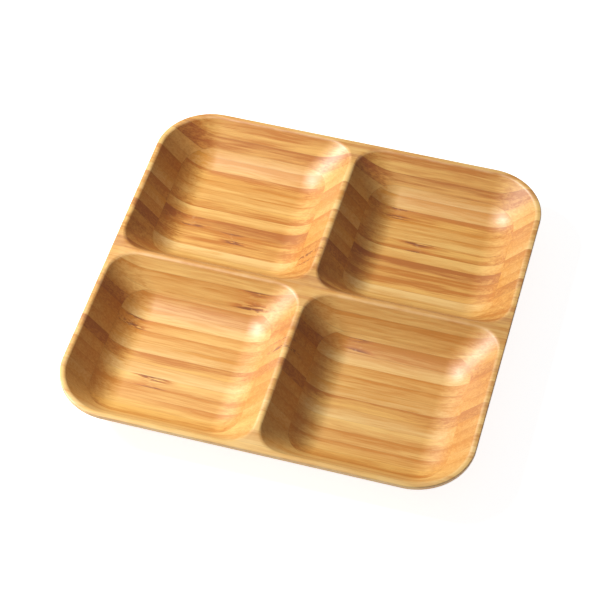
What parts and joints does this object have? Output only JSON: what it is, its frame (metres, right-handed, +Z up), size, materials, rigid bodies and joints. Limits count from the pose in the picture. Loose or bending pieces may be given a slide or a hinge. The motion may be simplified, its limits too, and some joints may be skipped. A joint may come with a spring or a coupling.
{
  "type": "divided compartment plate",
  "caption": "Square bamboo serving plate with rounded corners and a cross-shaped divider between its sloped compartments, glued up from bamboo strips in layers.",
  "frame": {"origin": "centre of the flat base, on the surface the plate stands on", "axes": "+X along the bamboo strips, to the right in the picture; +Y across them, away from the camera; +Z up"},
  "size_m": [0.248, 0.248, 0.0275],
  "materials": {
    "bamboo_pale": "oiled bamboo with a satin sheen",
    "bamboo_honey": "oiled bamboo with a satin sheen",
    "bamboo_amber": "oiled bamboo with a satin sheen",
    "bamboo_toasted": "oiled bamboo with a satin sheen"
  },
  "bodies": {
    "root": {"upper_strip_01": "bamboo_honey", "upper_strip_02": "bamboo_pale", "upper_strip_03": "bamboo_honey", "upper_strip_04": "bamboo_honey", "upper_strip_05": "bamboo_pale", "upper_strip_06": "bamboo_honey", "upper_strip_07": "bamboo_honey", "upper_strip_08": "bamboo_honey", "upper_strip_09": "bamboo_toasted", "upper_strip_10": "bamboo_honey", "upper_strip_11": "bamboo_honey", "upper_strip_12": "bamboo_amber", "upper_strip_13": "bamboo_toasted", "upper_strip_14": "bamboo_honey", "upper_strip_15": "bamboo_honey", "upper_strip_16": "bamboo_honey", "upper_strip_17": "bamboo_toasted", "upper_strip_18": "bamboo_amber", "upper_strip_19": "bamboo_amber", "upper_strip_20": "bamboo_amber", "upper_strip_21": "bamboo_toasted", "upper_strip_22": "bamboo_honey", "upper_strip_23": "bamboo_pale", "upper_strip_24": "bamboo_amber", "upper_strip_25": "bamboo_pale", "upper_strip_26": "bamboo_honey", "upper_strip_27": "bamboo_amber", "upper_strip_28": "bamboo_honey", "upper_strip_29": "bamboo_honey", "upper_strip_30": "bamboo_toasted", "upper_strip_31": "bamboo_amber", "upper_strip_32": "bamboo_honey", "lower_strip_01": "bamboo_honey", "lower_strip_02": "bamboo_amber", "lower_strip_03": "bamboo_honey", "lower_strip_04": "bamboo_honey", "lower_strip_05": "bamboo_honey", "lower_strip_06": "bamboo_pale", "lower_strip_07": "bamboo_amber", "lower_strip_08": "bamboo_pale", "lower_strip_09": "bamboo_honey", "lower_strip_10": "bamboo_honey", "lower_strip_11": "bamboo_pale", "lower_strip_12": "bamboo_honey", "lower_strip_13": "bamboo_honey", "lower_strip_14": "bamboo_amber", "lower_strip_15": "bamboo_honey", "lower_strip_16": "bamboo_honey", "lower_strip_17": "bamboo_honey", "lower_strip_18": "bamboo_pale", "lower_strip_19": "bamboo_amber", "lower_strip_20": "bamboo_amber", "lower_strip_21": "bamboo_toasted", "lower_strip_22": "bamboo_honey", "lower_strip_23": "bamboo_amber", "lower_strip_24": "bamboo_honey", "lower_strip_25": "bamboo_honey", "lower_strip_26": "bamboo_amber", "lower_strip_27": "bamboo_pale", "lower_strip_28": "bamboo_pale"}
  },
  "joints": []
}
